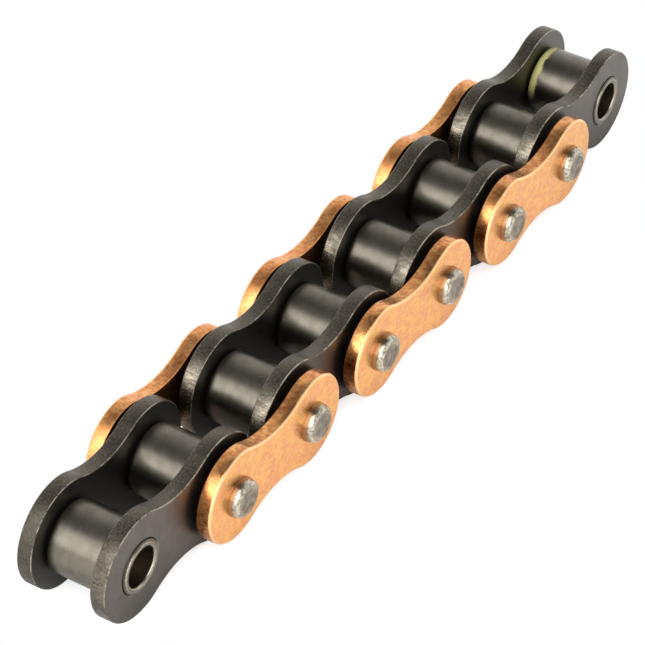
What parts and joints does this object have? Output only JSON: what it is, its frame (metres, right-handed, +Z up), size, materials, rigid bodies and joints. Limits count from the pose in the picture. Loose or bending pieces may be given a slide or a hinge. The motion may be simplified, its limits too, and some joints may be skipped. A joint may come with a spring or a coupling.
{
  "type": "roller chain strip",
  "caption": "Straight strip of motorcycle roller chain with dark inner links, gold-coloured outer links, free rollers and riveted pins that all turn.",
  "frame": {"origin": "middle of the straight strip: half its length, half its width, on the line of the pin axes", "axes": "+X along the chain, +Y along the pins and bushes, +Z up across the plates' height; the front plates are on the -Y side"},
  "size_m": [0.1, 0.0162, 0.011],
  "materials": {
    "inner_plate_steel": "satin, dark oxide",
    "outer_plate_gold": "satin, gold-coloured plating",
    "bush_steel": "ground",
    "roller_steel": "smooth satin, dark oxide",
    "pin_steel": "bare steel, riveted ends"
  },
  "bodies": {
    "inner_link_1": {"inner_plate_1_front": "inner_plate_steel", "inner_plate_1_rear": "inner_plate_steel", "bush_1": "bush_steel", "bush_2": "bush_steel"},
    "inner_link_2": {"inner_plate_2_front": "inner_plate_steel", "inner_plate_2_rear": "inner_plate_steel", "bush_3": "bush_steel", "bush_4": "bush_steel"},
    "inner_link_3": {"inner_plate_3_front": "inner_plate_steel", "inner_plate_3_rear": "inner_plate_steel", "bush_5": "bush_steel", "bush_6": "bush_steel"},
    "inner_link_4": {"inner_plate_4_front": "inner_plate_steel", "inner_plate_4_rear": "inner_plate_steel", "bush_7": "bush_steel", "bush_8": "bush_steel"},
    "outer_link_1": {"outer_plate_1_front": "outer_plate_gold", "outer_plate_1_rear": "outer_plate_gold", "pin_1": "pin_steel", "pin_2": "pin_steel"},
    "outer_link_2": {"outer_plate_2_front": "outer_plate_gold", "outer_plate_2_rear": "outer_plate_gold", "pin_3": "pin_steel", "pin_4": "pin_steel"},
    "outer_link_3": {"outer_plate_3_front": "outer_plate_gold", "outer_plate_3_rear": "outer_plate_gold", "pin_5": "pin_steel", "pin_6": "pin_steel"},
    "roller_1": {"roller_1": "roller_steel"},
    "roller_2": {"roller_2": "roller_steel"},
    "roller_3": {"roller_3": "roller_steel"},
    "roller_4": {"roller_4": "roller_steel"},
    "roller_5": {"roller_5": "roller_steel"},
    "roller_6": {"roller_6": "roller_steel"},
    "roller_7": {"roller_7": "roller_steel"},
    "roller_8": {"roller_8": "roller_steel"}
  },
  "joints": [
    {"name": "pin_1_pivot", "type": "hinge", "parent": "outer_link_1", "child": "inner_link_1", "pos_m": [-0.03175, 0, 0], "axis": [0, 1, 0], "range_deg": [-60, 60]},
    {"name": "pin_2_pivot", "type": "hinge", "parent": "inner_link_2", "child": "outer_link_1", "pos_m": [-0.01905, 0, 0], "axis": [0, 1, 0], "range_deg": [-60, 60]},
    {"name": "pin_3_pivot", "type": "hinge", "parent": "outer_link_2", "child": "inner_link_2", "pos_m": [-0.00635, 0, 0], "axis": [0, 1, 0], "range_deg": [-60, 60]},
    {"name": "pin_4_pivot", "type": "hinge", "parent": "outer_link_2", "child": "inner_link_3", "pos_m": [0.00635, 0, 0], "axis": [0, 1, 0], "range_deg": [-60, 60]},
    {"name": "pin_5_pivot", "type": "hinge", "parent": "inner_link_3", "child": "outer_link_3", "pos_m": [0.01905, 0, 0], "axis": [0, 1, 0], "range_deg": [-60, 60]},
    {"name": "pin_6_pivot", "type": "hinge", "parent": "outer_link_3", "child": "inner_link_4", "pos_m": [0.03175, 0, 0], "axis": [0, 1, 0], "range_deg": [-60, 60]},
    {"name": "roller_1_spin", "type": "hinge", "parent": "inner_link_1", "child": "roller_1", "pos_m": [-0.04445, 0, 0], "axis": [0, 1, 0], "continuous": true},
    {"name": "roller_2_spin", "type": "hinge", "parent": "inner_link_1", "child": "roller_2", "pos_m": [-0.03175, 0, 0], "axis": [0, 1, 0], "continuous": true},
    {"name": "roller_3_spin", "type": "hinge", "parent": "inner_link_2", "child": "roller_3", "pos_m": [-0.01905, 0, 0], "axis": [0, 1, 0], "continuous": true},
    {"name": "roller_4_spin", "type": "hinge", "parent": "inner_link_2", "child": "roller_4", "pos_m": [-0.00635, 0, 0], "axis": [0, 1, 0], "continuous": true},
    {"name": "roller_5_spin", "type": "hinge", "parent": "inner_link_3", "child": "roller_5", "pos_m": [0.00635, 0, 0], "axis": [0, 1, 0], "continuous": true},
    {"name": "roller_6_spin", "type": "hinge", "parent": "inner_link_3", "child": "roller_6", "pos_m": [0.01905, 0, 0], "axis": [0, 1, 0], "continuous": true},
    {"name": "roller_7_spin", "type": "hinge", "parent": "inner_link_4", "child": "roller_7", "pos_m": [0.03175, 0, 0], "axis": [0, 1, 0], "continuous": true},
    {"name": "roller_8_spin", "type": "hinge", "parent": "inner_link_4", "child": "roller_8", "pos_m": [0.04445, 0, 0], "axis": [0, 1, 0], "continuous": true}
  ]
}
